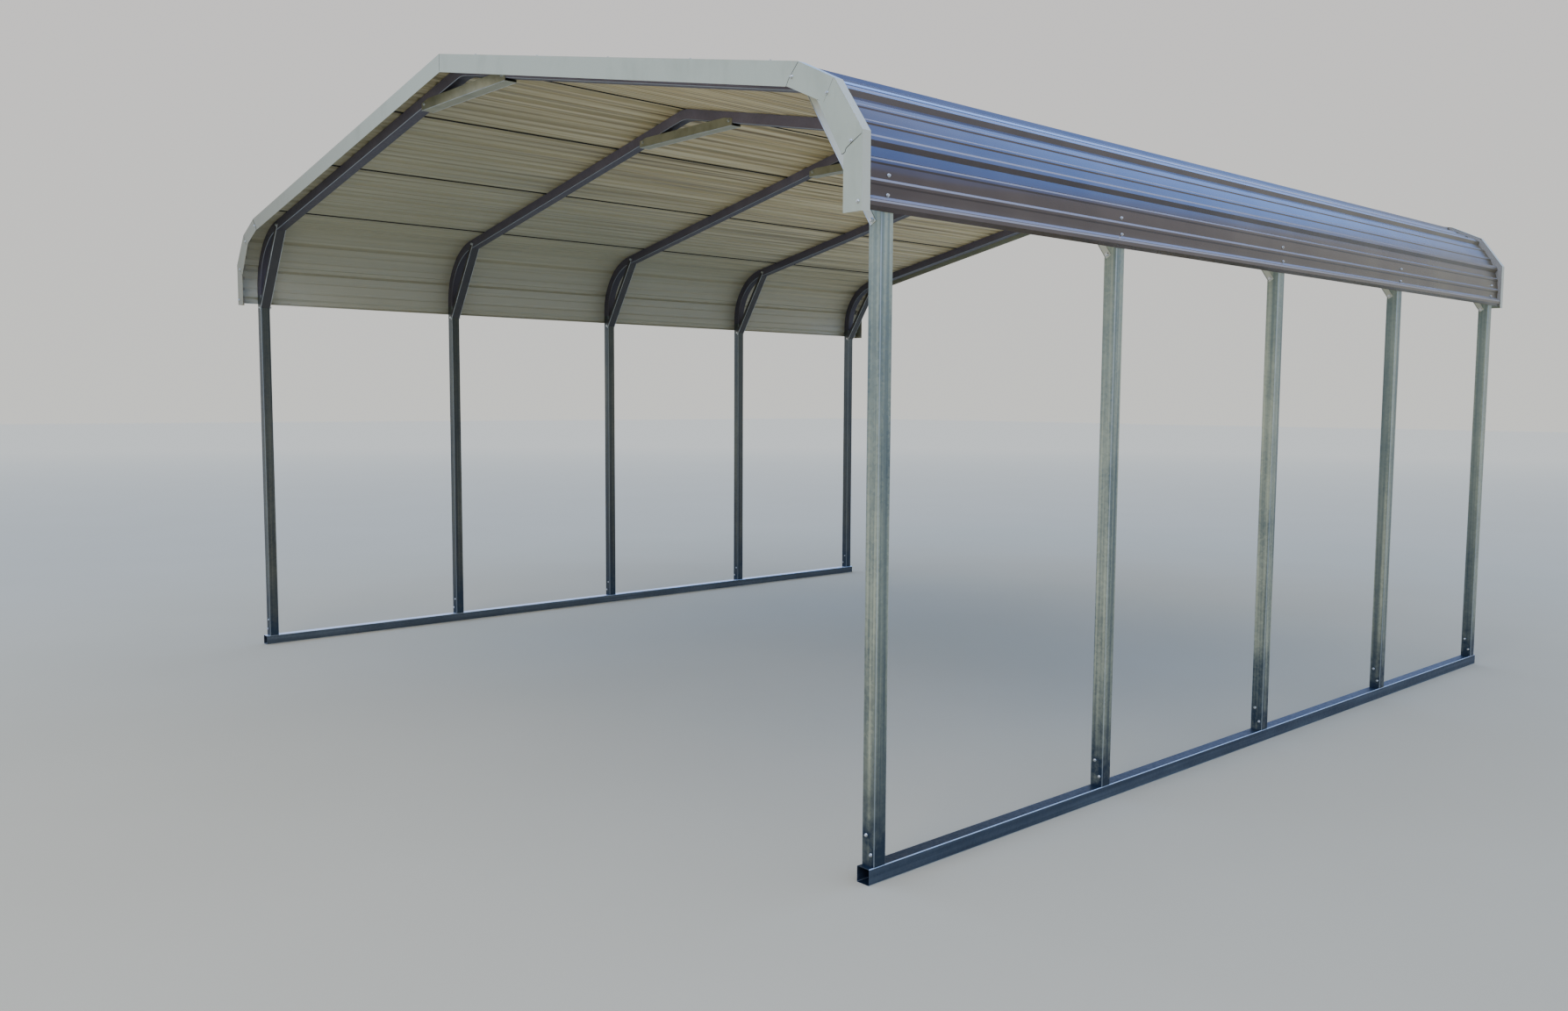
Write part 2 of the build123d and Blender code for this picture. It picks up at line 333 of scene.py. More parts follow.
# Painted reflection of the sky on the top of the left rail.
left_rail_zinc = galvanised(
    "galvanised_tube_left_rail_painted_sky", dull="#454e58", bright="#66707a", sheltered="#454e58",
    streak_mm=RAIL_STREAK_MM, corners="XZ", rough=0.36, corner_highlight=1.0,
    painted_facing=("#e6ebee", 0.3, 0.9, 0.9), left_shade=0.0)
# Painted shade: a darker purple grey bow, darker still underneath.
bow_zinc_shaded = galvanised(
    "galvanised_tube_bow_painted_shade", dull="#6e666f", bright="#938a95", sheltered="#827989",
    streak_mm=BOW_STREAK_MM, corners="YZ", rough=0.5, corner_highlight=0.4,
    painted_facing=("#37363c", -0.3, -0.9, 0.7), metal=0.25, low_shade=2.0)
tube_finishes = (upright_zinc, rail_zinc, left_rail_zinc, bow_zinc_shaded)
print("tube finishes:", [finish.name for finish in tube_finishes])

# %% [markdown]
# ## Galvanised channel
#
# The braces are pressed from thinner galvanised strip. The zinc is warmer and paler than on the
# tube, with finer spangle, and the press smooths it, so it shows soft patches and no streaks. It is
# painted dark on the left side as shade, and almost white on the right as painted light.
#
# One material serves all braces: patchy noise for the dull bloom, two tones of painted shade and
# light by the distance across, and a little relief from the press.

# %% Galvanised channel
# Pressed zinc: a pale, warm grey with a soft sheen, in patches.
CHANNEL_SPANGLE_MM = 8
BLOOM_MM = 71.4286
brace_zinc, tree, surface = new_material("galvanised_channel_pressed")
spot = add(tree, "ShaderNodeNewGeometry")["Position"]
cells = add(tree, "ShaderNodeTexVoronoi", {"Vector": spot, "Scale": per_metre(CHANNEL_SPANGLE_MM)})
bloom = add(tree, "ShaderNodeTexNoise",
            {"Vector": spot, "Scale": per_metre(BLOOM_MM), "Detail": 4.0})["Fac"]
tone = add(tree, "ShaderNodeMath", {0: cells["Distance"], 1: 0.12, 2: bloom},
           operation="MULTIPLY_ADD")[0]
zinc = add(tree, "ShaderNodeValToRGB", {"Fac": tone},
           [(0.3, "#98977f"), (0.75, "#b1af96")])["Color"]
across = add(tree, "ShaderNodeSeparateXYZ", {"Vector": spot})["X"]
# Painted shade on the left braces, and painted light on the right ones.
zinc = lay_over(tree, zinc, "#434148", across, -0.5, -2.4, 0.9)
zinc = lay_over(tree, zinc, "#d3d6ca", across, 2.2, 2.8, 0.8)
relief = add(tree, "ShaderNodeBump",
             {"Height": bloom, "Strength": 0.1, "Distance": 0.001})["Normal"]
set_inputs(tree, surface, {"Base Color": zinc, "Normal": relief, "Metallic": 0.7,
                           "Roughness": 0.42})
print("brace finish:", brace_zinc.name)

# %% [markdown]
# ## Painted roof sheet
#
# The roof sheet is coil-coated steel: a dark brown polyester topcoat outside, and a thin beige
# backing coat underneath, both baked on before the sheet is formed. The topcoat is glossy, so the
# sky shows in it. The backing coat is dull, and the forming rolls leave long, soft marks in it.
#
# Two materials would have to be given out face by face. One is simpler: it works out the side from
# the surface's direction. Outside is where the normal points away from the middle of the bend, up
# on the slopes, or outward on the skirts.

# %% Which side of the sheet
OUTSIDE_LIMIT = 0.001
roof_paint, tree, surface = new_material("coil_coated_roof_sheet")
place = add(tree, "ShaderNodeNewGeometry")
spot = place["Position"]
normal = place["True Normal"]
across, lengthwise, height = add(tree, "ShaderNodeSeparateXYZ", {"Vector": spot})
width = add(tree, "ShaderNodeMath", {0: across}, operation="ABSOLUTE")[0]
side = add(tree, "ShaderNodeMath", {0: across}, operation="SIGN")[0]
over = add(tree, "ShaderNodeMath", {0: width, 1: arc_x}, operation="SUBTRACT")[0]
rise = add(tree, "ShaderNodeMath", {0: height, 1: arc_z}, operation="SUBTRACT")[0]
reach = add(tree, "ShaderNodeMath", {0: over, 1: 0.0}, operation="MAXIMUM")[0]
reach = add(tree, "ShaderNodeMath", {0: reach, 1: side}, operation="MULTIPLY")[0]
lift = add(tree, "ShaderNodeMath", {0: rise, 1: 0.0}, operation="MAXIMUM")[0]
away = add(tree, "ShaderNodeCombineXYZ", {"X": reach, "Z": lift})[0]
facing = add(tree, "ShaderNodeVectorMath", {0: away, 1: normal}, operation="DOT_PRODUCT")["Value"]
outside = add(tree, "ShaderNodeMath", {0: facing, 1: OUTSIDE_LIMIT}, operation="GREATER_THAN")[0]
print("side of the sheet found with", len(tree.nodes), "nodes")

# %% [markdown]
# ### The roof unrolled, in nodes
#
# Marks and dust follow the ribs, so the material also works out s, the distance from the ridge on
# the unrolled roof: the part on the slope, the part round the bend and the drop down the skirt are
# each held to their own range and added up. From s follow the distance of a point from the hem rib
# and from the nearest rib.

# %% Distance from the ridge and from the ribs
slope_s = add(tree, "ShaderNodeMath", {0: width, 1: cos(PITCH), 2: ridge_z * sin(PITCH)},
              operation="MULTIPLY_ADD")[0]
slope_s = add(tree, "ShaderNodeMath", {0: height, 1: -sin(PITCH), 2: slope_s},
              operation="MULTIPLY_ADD")[0]
slope_s = add(tree, "ShaderNodeMath", {0: slope_s, 1: slope_length}, operation="MINIMUM")[0]
turn = add(tree, "ShaderNodeMath", {0: over, 1: rise}, operation="ARCTAN2")[0]
turn = add(tree, "ShaderNodeClamp", {"Value": turn, "Min": PITCH, "Max": pi / 2})[0]
bend_s = add(tree, "ShaderNodeMath", {0: turn, 1: EAVE_RADIUS, 2: -PITCH * EAVE_RADIUS},
             operation="MULTIPLY_ADD")[0]
drop = add(tree, "ShaderNodeMath", {0: rise, 1: -1.0}, operation="MULTIPLY")[0]
drop = add(tree, "ShaderNodeMath", {0: drop, 1: 0.0}, operation="MAXIMUM")[0]
unrolled = add(tree, "ShaderNodeMath", {0: slope_s, 1: bend_s}, operation="ADD")[0]
unrolled = add(tree, "ShaderNodeMath", {0: unrolled, 1: drop}, operation="ADD")[0]
from_hem_rib = add(tree, "ShaderNodeMath", {0: sheet_end - RIB_BASE, 1: unrolled},
                   operation="SUBTRACT")[0]
to_rib = add(tree, "ShaderNodeMath", {0: from_hem_rib, 1: rib_step / 2}, operation="PINGPONG")[0]
print("roof unrolled:", round(sheet_end, 4), "m from the ridge to the hem")

# %% [markdown]
# ### The backing coat
#
# Long marks run with the ribs, from the front end to the back: noise in the unrolled coordinates,
# 30 mm wide and 2.5 m long. Toward the right and the back they are painted strong and tan as
# painted daylight under the roof, and toward the left they are painted faint and grey beige as
# shade.
# The hollow of each rib is painted lighter, a painted highlight. Low on the skirts the coat is
# painted paler and cooler, as painted light from the ground.

# %% Backing coat
# A thin coat of baked primer: dull beige, with long soft marks.
MARK_MM = (30.303, 2500, 1000)
sheet_spot = add(tree, "ShaderNodeCombineXYZ", {"X": unrolled, "Y": lengthwise})[0]
along = add(tree, "ShaderNodeMapping", {"Vector": sheet_spot, "Scale": per_metre(MARK_MM)})[0]
marks = add(tree, "ShaderNodeTexNoise",
            {"Vector": along, "Scale": 1.0, "Detail": 4.0, "Roughness": 0.55})["Fac"]
beige = add(tree, "ShaderNodeValToRGB", {"Fac": marks},
            [(0.3, "#8b8464"), (0.52, "#a49c77"), (0.74, "#b8af8b")])["Color"]
lit_tan_marks = add(tree, "ShaderNodeValToRGB", {"Fac": marks},
                [(0.36, "#8f794c"), (0.5, "#d6be84"), (0.62, "#f4e2b0")])["Color"]
daylight = add(tree, "ShaderNodeMath", {0: lengthwise, 1: 0.6, 2: across},
               operation="MULTIPLY_ADD")[0]
# Painted light toward the right and the back, a painted highlight in the rib hollows, painted shade
# toward the left, and painted ground light low on the skirts.
beige = lay_over(tree, beige, lit_tan_marks, daylight, -2.6, -0.5, 0.9)
beige = lay_over(tree, beige, "#c9c19c", to_rib, 0.026, 0.012, 0.5)
beige = lay_over(tree, beige, "#a3a189", across, -1.2, -2.6, 0.4)
beige = lay_over(tree, beige, "#b9b8a7", height, 3.05, 2.6, 0.75)
print("marks repeat", round(per_metre(MARK_MM)[0]), "times in a metre across the ribs")

# %% [markdown]
# ### The topcoat, its dust and its painted highlights
#
# The topcoat carries a film of dust in clouds of about 290 mm, which gathers along the feet of the
# ribs. On the skirt the ribs' upper flanks are painted pale. Round the bend, the upper edge of
# every rib, the low ones between the tall ones too, gets a thin painted highlight line, a painted
# reflection of the sky.
#
# Such a line could be a strip of mesh. As a band of the unrolled distance it needs none, and keeps
# its width round the bend.

# %% Topcoat
# Baked polyester: deep brown and glossy, so that it takes the tone of the sky, dulled by dust.
DUST_MM = 285.714
FLANK_UP = (0.3, 0.5)           # how far up a flank looks
SKIRT_EDGE = (half_width - 0.005, half_width + 0.005)
LINE_STARTS = (0.002, 0.004)    # distance past the middle of a rib, where the line fades in
LINE_ENDS = (0.011, 0.009)      # and where it fades out
BEND_LINES = (2.86, 2.96)       # distance across where the lines begin
dust = add(tree, "ShaderNodeTexNoise",
           {"Vector": spot, "Scale": per_metre(DUST_MM), "Detail": 6.0})["Fac"]
brown = add(tree, "ShaderNodeValToRGB", {"Fac": dust},
            [(0.35, "#3f2e22"), (0.75, "#514032")])["Color"]
brown = lay_over(tree, brown, "#6d6259", to_rib, 0.045, 0.026, 0.3, dust)

up = add(tree, "ShaderNodeSeparateXYZ", {"Vector": normal})["Z"]
past_middle = add(tree, "ShaderNodeMath", {0: from_hem_rib, 1: rib_step / 6, 2: -rib_step / 6},
                  operation="WRAP")[0]
flank, on_skirt, fade_in, fade_out, on_bend = [
    add(tree, "ShaderNodeMapRange",
        {"Value": measure, "From Min": start, "From Max": end, "To Max": most})[0]
    for measure, (start, end), most in (
        (up, FLANK_UP, 0.5), (width, SKIRT_EDGE, 1.0), (past_middle, LINE_STARTS, 0.6),
        (past_middle, LINE_ENDS, 1.0), (width, BEND_LINES, 1.0))]
flank = add(tree, "ShaderNodeMath", {0: flank, 1: on_skirt}, operation="MULTIPLY")[0]
line = add(tree, "ShaderNodeMath", {0: fade_in, 1: fade_out}, operation="MULTIPLY")[0]
line = add(tree, "ShaderNodeMath", {0: line, 1: on_bend}, operation="MULTIPLY")[0]
painted_highlight = add(tree, "ShaderNodeMath", {0: flank, 1: line}, operation="MAXIMUM")[0]
# Painted highlight on the skirt's upper flanks and along the ribs round the bend.
brown = add(tree, "ShaderNodeMix", {0: painted_highlight, FIRST: brown, SECOND: "#c4c2c8"},
            data_type="RGBA")[MIXED]
print("light lines", round((LINE_ENDS[0] - LINE_STARTS[0]) * 1000), "mm wide")

# %% [markdown]
# ### Painted shade toward the back, gloss and waves
#
# Toward the back the topcoat is painted a duller olive as shade, and it is less glossy there. Along
# the painted highlight lines the gloss is lower, except below the hem rib. Then the two coats come
# together: the colour and the gloss of a point are those of the side that it is on. Thin sheet is
# never quite flat, so a slow relief lets the mirrored sky wander a little along the ribs.

# %% Both coats together
HEM_MARGIN = 0.05
BACK_FROM, BACK_TO = -1.0, 3.0    # distances toward the back
WAVE_MM = (111.111, 1111.11, 1000)
above_hem = add(tree, "ShaderNodeMath", {0: from_hem_rib, 1: HEM_MARGIN},
                operation="GREATER_THAN")[0]
highlight_lines_above_hem = add(tree, "ShaderNodeMath", {0: painted_highlight, 1: above_hem}, operation="MULTIPLY")[0]
# Painted shade toward the back: an olive tone, broken up by the dust noise.
brown = lay_over(tree, brown, "#6f6440", lengthwise, BACK_FROM, BACK_TO, 1.0, dust)
coat = add(tree, "ShaderNodeMix", {0: outside, FIRST: beige, SECOND: brown},
           data_type="RGBA")[MIXED]
topcoat_gloss = add(tree, "ShaderNodeMapRange",
                    {"Value": lengthwise, "From Min": BACK_FROM, "From Max": BACK_TO,
                     "To Min": 0.12, "To Max": 0.32})[0]
topcoat_gloss = add(tree, "ShaderNodeMath", {0: highlight_lines_above_hem, 1: 1.1, 2: topcoat_gloss},
                    operation="MULTIPLY_ADD", use_clamp=True)[0]
gloss = add(tree, "ShaderNodeMapRange",
            {"Value": outside, "To Min": 0.5, "To Max": topcoat_gloss})[0]
wave = add(tree, "ShaderNodeMapping", {"Vector": sheet_spot, "Scale": per_metre(WAVE_MM)})[0]
ripple = add(tree, "ShaderNodeTexNoise", {"Vector": wave, "Scale": 1.0, "Detail": 2.0})["Fac"]
relief = add(tree, "ShaderNodeBump",
             {"Height": ripple, "Strength": 0.3, "Distance": 0.005})["Normal"]
# The studio sky is paler than a real one, so the gloss is a little stronger and cooler than usual.
set_inputs(tree, surface, {"Base Color": coat, "Roughness": gloss, "Normal": relief,
                           "IOR": 1.55, "Specular IOR Level": 0.75, "Specular Tint": "#dce6ff"})
print("roof finish:", roof_paint.name, len(tree.nodes), "nodes")

# %% [markdown]
# ## Painted trim
#
# The trim is the same kind of sheet, coated off-white and folded on a hand brake. Hand folding
# leaves shallow waves, rain leaves faint grey-green runs below the screws and seams, and the gloss
# is that of satin paint. Its left half is painted a darker brown as shade, and what faces right is
# painted a warm white as light.
#
# The waves are relief, the runs are noise stretched downward, and the two tones of painted shade
# and light follow from the distance across and from the way that a face looks.

# %% Painted gable trim
# Baked satin paint: a warm off-white with a broad, soft sheen.
RUN_MM = (111.111, 111.111, 333.333)
STAIN_MM = 250
BRAKE_WAVE_MM = 142.857
trim_paint, tree, surface = new_material("off_white_satin_trim")
place = add(tree, "ShaderNodeNewGeometry")
spot = place["Position"]
runs_spot = add(tree, "ShaderNodeMapping", {"Vector": spot, "Scale": per_metre(RUN_MM)})[0]
runs = add(tree, "ShaderNodeTexNoise",
           {"Vector": runs_spot, "Scale": 1.0, "Detail": 5.0, "Roughness": 0.6})["Fac"]
clouds = add(tree, "ShaderNodeTexNoise",
             {"Vector": spot, "Scale": per_metre(STAIN_MM), "Detail": 5.0})["Fac"]
stain = add(tree, "ShaderNodeMath", {0: runs, 1: clouds}, operation="ADD")[0]
tint = add(tree, "ShaderNodeValToRGB", {"Fac": stain},
           [(0.72, "#9fa48e"), (0.98, "#aaae98")])["Color"]
across = add(tree, "ShaderNodeSeparateXYZ", {"Vector": spot})["X"]
# Painted shade on the left half, and painted light on faces that look right.
tint = lay_over(tree, tint, "#665d45", across, -0.3, -3.1, 0.68)
rightward = add(tree, "ShaderNodeSeparateXYZ", {"Vector": place["Normal"]})["X"]
tint = lay_over(tree, tint, "#dcd3b4", rightward, 0.5, 0.9, 0.6)
brake = add(tree, "ShaderNodeTexNoise",
            {"Vector": spot, "Scale": per_metre(BRAKE_WAVE_MM), "Detail": 1.0})["Fac"]
relief = add(tree, "ShaderNodeBump",
             {"Height": brake, "Strength": 0.15, "Distance": 0.003})["Normal"]
set_inputs(tree, surface, {"Base Color": tint, "Normal": relief, "Roughness": 0.4, "IOR": 1.5})
print("trim finish:", trim_paint.name)

# %% [markdown]
# ## Give every solid its finish
#
# The solids carry plain stand-in materials from the construction model. Each node's name says what
# it is, so the finish is chosen by name. Only the material slot changes, never the mesh.

# %% Finishes of the solids
FINISHES = {
    "left_base_rail": left_rail_zinc,
    "right_base_rail": rail_zinc,
    "leg": upright_zinc,
    "bow": bow_zinc_shaded,
    "brace": brace_zinc,
    "trim": trim_paint,
    "sheet": roof_paint,
    "cap": roof_paint,
}
for name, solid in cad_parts.items():
    finish = next(FINISHES[word] for word in FINISHES if word in name)
    solid.data.materials.clear()
    solid.data.materials.append(finish)
print("materials:", sorted(m.name for m in bpy.data.materials))

# %% [markdown]
# ## Tools for the added pieces
#
# Every long or flat part below is a prism: an outline in X and Z, drawn from one value of Y to
# another. A face could be extruded by hand, but a function repeats it without slips, and draws the
# left side as a mirror image of the right one. The small materials, each one colour with a fine
# mottle, share a function too.

# %% Prisms, pieces and mottled materials


def mottled(name, size_mm, detail, dark, light, **shine):
    """Material of one colour with a fine mottle. Shine is its roughness and metallic value."""
    material, tree, surface = new_material(name)
    spot = add(tree, "ShaderNodeNewGeometry")["Position"]
    mottle = add(tree, "ShaderNodeTexNoise",
                 {"Vector": spot, "Scale": per_metre(size_mm), "Detail": detail})["Fac"]
    tint = add(tree, "ShaderNodeValToRGB", {"Fac": mottle}, [(0.3, dark), (0.7, light)])
    set_inputs(tree, surface, {"Base Color": tint["Color"], **shine})
    return material


def mirrored(outline, sign):
    """An outline of the right side, as it is or, with a sign of -1, for the left side."""
    return [(sign * x, z) for x, z in outline]


def prism(mesh, outline, start, stop):
    """Closed prism of an outline in X and Z, from one value of Y to another."""
    ends = [[mesh.verts.new((x, y, z)) for x, z in outline] for y in (start, stop)]
    mesh.faces.new(ends[0])
    mesh.faces.new(ends[1][::-1])
    count = len(outline)
    for k in range(count):
        n = (k + 1) % count
        mesh.faces.new((ends[0][n], ends[0][k], ends[1][k], ends[1][n]))


def piece_from(name, mesh, material):
    bmesh.ops.recalc_face_normals(mesh, faces=mesh.faces)
    data = bpy.data.meshes.new(name)
    mesh.to_mesh(data)
    mesh.free()
    data.materials.append(material)
    piece = bpy.data.objects.new(name, data)
    bpy.context.scene.collection.objects.link(piece)
    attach(piece, "root")
    print(name, len(data.polygons), "faces")


print("a prism can run from", round(-roof_end, 3), "to", round(roof_end, 3))

# %% [markdown]
# ## Sealant in the laps
#
# Where a sheet laps over the last rib of the one below, a line of dark butyl tape is pressed into
# the gap. From below, the gap's shadow shows as a thin black line along the whole roof, and the
# tape is drawn black to stand in for it, as painted shade. A painted line would vanish at a flat
# angle,
# so the tape is a real bead: its cross section is drawn in the unrolled coordinates, and stretched
# from one end of the roof to the other.
#
# The tape bulges out of the laps on the left slope. On the right slope the edge of the upper sheet
# is turned in and hides it, so there the bead is a part of the sheet and has its finish.

# %% Butyl tape
# Rolled butyl: almost black and matt. Here it also stands in for the shadow of gaps, as painted
# shade. Its grain is under 1 mm, drawn at 6 mm so that it shows.
butyl_shadow = mottled("black_butyl_painted_shadow", 6.25, 4.0, "#0f0e0d", "#1d1b19", Roughness=0.8)
END_GAP = 0.004
LAP_BEADS = {
    "right": [(-0.004, 0.0003), (0.003, 0.0003), (0.0075, 0.0058), (-0.001, 0.0050)],
    "left": [(-0.006, -0.0005), (-0.005, -0.0048), (0.004, -0.0048), (0.0055, 0.0055),
             (-0.001, 0.0010)],
}
for side_name, sign in SIDES:
    beads = bmesh.new()
    for rib in LAP_RIBS:
        foot = sheet_end - RIB_BASE - rib * rib_step - RIB_BASE
        outline = [on_roof(foot + s, h)[0] for s, h in LAP_BEADS[side_name]]
        prism(beads, mirrored(outline, sign), -roof_end + END_GAP, roof_end - END_GAP)
    bead_finish = roof_paint if side_name == "right" else butyl_shadow
    piece_from(f"{side_name}_lap_tape", beads, bead_finish)

# %% [markdown]
# ## Closure under the ridge cap
#
# The two top sheets stop short of each other, and the cap bridges the gap. A closure of the same
# black sealant fills it. Its lower edge hangs a few millimetres below the sheets, clear of the
# bows, and draws the ridge as a thin dark line, painted shade for the shadow of the gap.

# %% Ridge closure
CLOSURE = [(-0.0065, 0.012), (-0.0065, -0.002), (-0.004, -0.0055), (0.004, -0.0055),
           (0.0065, -0.002), (0.0065, 0.012)]
closure = bmesh.new()
prism(closure, [(x, ridge_z + z) for x, z in CLOSURE], -roof_end + END_GAP, roof_end - END_GAP)
piece_from("ridge_closure", closure, butyl_shadow)

# %% [markdown]
# ## Closures under the trim
#
# The trim rests on the ribs, so between them a gap would stay open at both gable ends, where wind
# and insects get in. Strips of grey foam close it. The trim is straight between its folds and the
# sheets are round, so the strip's height changes along the bend. One many-sided face would be hard
# to fill, so the strip is built from short prisms side by side.

# %% End closures
# Closed-cell foam: pale grey and matt. Its pores are under 1 mm, drawn at 4.5 mm so that they show.
foam = mottled("grey_closure_foam", 4.5455, 3.0, "#8c877c", "#a5a094", Roughness=0.85)
CROWN = RIB_HEIGHT + 2 * SHEET    # top of a rib where two sheets lap
# The trim's flats: their slope, and how much further they lie from the middle of the bend.
TRIM_FLATS = [(PITCH, 0.0), (radians(26.0), -0.0015), (radians(54.7), 0.010), (pi / 2, 0.0)]
TRIM_RETURN = 0.040
FOAM_START = 0.02
FOAM_LIFT = 0.001
FOAM_SETBACK = 0.002
FOAM_DEPTH = 0.012
SLOPE_STEPS, BEND_STEPS = 4, 24


def room_under_trim(s):
    """Height above the tubes of the trim's under skin at the distance s from the ridge."""
    if s <= slope_length or s >= arc_end:
        return CROWN
    turn = PITCH + (s - slope_length) / EAVE_RADIUS
    reach = min((EAVE_RADIUS + CROWN + extra) / cos(turn - a) for a, extra in TRIM_FLATS)
    return reach - EAVE_RADIUS


stops = [FOAM_START + k * (slope_length - FOAM_START) / SLOPE_STEPS for k in range(SLOPE_STEPS)]
stops += [slope_length + k * (arc_end - slope_length) / BEND_STEPS for k in range(BEND_STEPS + 1)]
stops += [sheet_end]
inner = roof_end - TRIM_RETURN + FOAM_SETBACK
for end, way in ENDS:
    strips = bmesh.new()
    for _, sign in SIDES:
        for s0, s1 in zip(stops, stops[1:]):
            places = [(s0, FOAM_LIFT), (s1, FOAM_LIFT), (s1, room_under_trim(s1)),
                      (s0, room_under_trim(s0))]
            outline = [on_roof(s, h)[0] for s, h in places]
            prism(strips, mirrored(outline, sign), way * inner, way * (inner + FOAM_DEPTH))
    piece_from(f"{end}_closure_foam", strips, foam)

# %% [markdown]
# ## Lapped plates of the gable trim
#
# At the eave the trim can't be bent in one piece, so it is cut and its plates are lapped: one on
# the upper flat, one on the steep flat that lies over both of its neighbours, and one down the
# skirt. Each is a little wider to the inside than the folded trim behind it. The seams show as fine
# edges, so the plates are separate sheets of 1 mm on the front of the trim.
#
# Their outer edges are the folds of the trim, worked out from its flats. Their inner edges were
# measured in the photograph.

# %% Trim plates
trim_low, trim_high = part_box("front_right_gable_trim")
face_y = -trim_low.y
EDGE = CROWN + 0.0015    # outer skin of the trim, above the tubes
PLATE = (-0.0002, 0.0009)      # back and front of a plate, from the face of the trim
OVER_PLATE = (0.0007, 0.0019)


def trim_folds(h):
    """Folds of the trim at the height h above the tubes, from the slope to the skirt."""
    folds = []
    for (a, extra_a), (b, extra_b) in zip(TRIM_FLATS, TRIM_FLATS[1:]):
        reach_a = EAVE_RADIUS + h + extra_a
        reach_b = EAVE_RADIUS + h + extra_b
        x = (reach_b * cos(a) - reach_a * cos(b)) / sin(b - a)
        z = (reach_a * sin(b) - reach_b * sin(a)) / sin(b - a)
        folds.append((arc_x + x, arc_z + z))
    return folds


(ax, az), (bx, bz), (cx, cz) = trim_folds(EDGE)
upper_plate = [(ax + 0.004, az - 0.006), (bx, bz), (2.926, 2.868), (2.900, 2.878),
               (2.717, 2.962), (2.733, 2.985)]
steep_plate = [(bx - 0.004, bz + 0.001), (cx, cz), (cx - 0.002, cz - 0.012), (3.040, 2.697),
               (3.032, 2.690), (3.029, 2.680), (3.021, 2.676), (3.012, 2.676), (2.885, 2.884),
               (2.921, 2.871)]
skirt_plate = [(cx, cz), (cx, trim_low.z), (3.0215, trim_low.z), (3.0215, 2.700),
               (3.040, 2.716)]
for end, way in ENDS:
    for side_name, sign in SIDES:
        plates = bmesh.new()
        for outline, (near, far) in ((upper_plate, PLATE), (skirt_plate, PLATE),
                                     (steep_plate, OVER_PLATE)):
            prism(plates, mirrored(outline, sign), way * (face_y + near), way * (face_y + far))
        piece_from(f"{end}_{side_name}_trim_plates", plates, trim_paint)
print("folds of the trim:", [(round(x, 4), round(z, 4)) for x, z in trim_folds(EDGE)])

# %% [markdown]
# ### Seams between the plates
#
# Each lap is sealed, and along the edge of the upper plate lies a dark line under 2 mm wide: the
# shadow of the seam. A gap of the right size would be too fine for the render, so the line is a
# thin black strip along the edge, a painted shadow. One more marks the joint of the two halves at
# the ridge.

# %% Trim seams
SEAM_HALF_WIDTH = 0.0009
SEAM_PROUD, RIDGE_SEAM_PROUD = 0.0013, 0.0004
SEAMS = [
    [(ax + 0.003, az - 0.005), (2.732, 2.985), (2.716, 2.958)],
    [(bx - 0.006, bz), (2.919, 2.869), (2.884, 2.885)],
    [(cx - 0.003, cz - 0.013), (3.041, 2.695), (3.033, 2.689), (3.030, 2.679), (3.021, 2.674),
     (3.011, 2.675)],
]
ridge_seam = [(0.0, trim_high.z - 0.002), (0.0, trim_high.z - 0.090)]


def seam(mesh, points, near, far):
    """Thin strip along a line of points on the face of a gable."""
    for (x0, z0), (x1, z1) in zip(points, points[1:]):
        along = Vector((x1 - x0, z1 - z0)).normalized() * SEAM_HALF_WIDTH
        across = Vector((-along.y, along.x))
        corners = [(x0 + across.x, z0 + across.y), (x0 - across.x, z0 - across.y),
                   (x1 - across.x, z1 - across.y), (x1 + across.x, z1 + across.y)]
        prism(mesh, corners, near, far)


for end, way in ENDS:
    seams = bmesh.new()
    for _, sign in SIDES:
        for points in SEAMS:
            seam(seams, mirrored(points, sign), way * face_y, way * (face_y + SEAM_PROUD))
    seam(seams, ridge_seam, way * face_y, way * (face_y + RIDGE_SEAM_PROUD))
    # Black strips: painted shadow lines of the seams.
    piece_from(f"{end}_trim_seams", seams, butyl_shadow)

# %% [markdown]
# ## Screws
#
# A self-drilling screw has a hexagonal head, 9 mm across its corners, on a pressed collar, and a
# rubber-faced washer that seals the hole. It could be drawn once and repeated by a modifier, but
# one mesh for each row is easier to select, to hide and to export. Every screw is a short stack of
# rings, each a radius and a height, and every head is turned its own way.

# %% Zinc-plated screw
# Bright zinc plating: a light, cool metal. Its speckle is under 1 mm, drawn at 3 mm to show.
screw_zinc = mottled("zinc_plated_screw", 3.3333, 3.0, "#b4b8b8", "#e2e4e2",
                     Metallic=1.0, Roughness=0.3)
SCREW_WASHER = [(0.0072, -0.001), (0.0076, 0.0012), (0.0066, 0.0024)]
SCREW_COLLAR = [(0.0062, 0.0022), (0.0060, 0.0032)]
SCREW_HEAD = [(0.0046, 0.003), (0.0046, 0.0066), (0.0038, 0.0074)]
ROUND, HEXAGON = 16, 6


def stack(mesh, place, rings, corners, turn=0.0):
    """Adds rings of (radius, height) to a mesh as one closed shape that starts at the base."""
    angles = [turn + 2 * pi * k / corners for k in range(corners)]
    loops = [[mesh.verts.new(place @ Vector((radius * cos(a), radius * sin(a), height)))
              for a in angles] for radius, height in rings]
    for low, high in zip(loops, loops[1:]):
        for k in range(corners):
            n = (k + 1) % corners
            mesh.faces.new((low[k], low[n], high[n], high[k]))
    mesh.faces.new(loops[-1])
    mesh.faces.new(loops[0][::-1])


def place_on(point, normal):
    """Matrix that stands a shape on a point, with its Z along the normal."""
    return Matrix.Translation(point) @ Vector(normal).to_track_quat("Z", "Y").to_matrix().to_4x4()


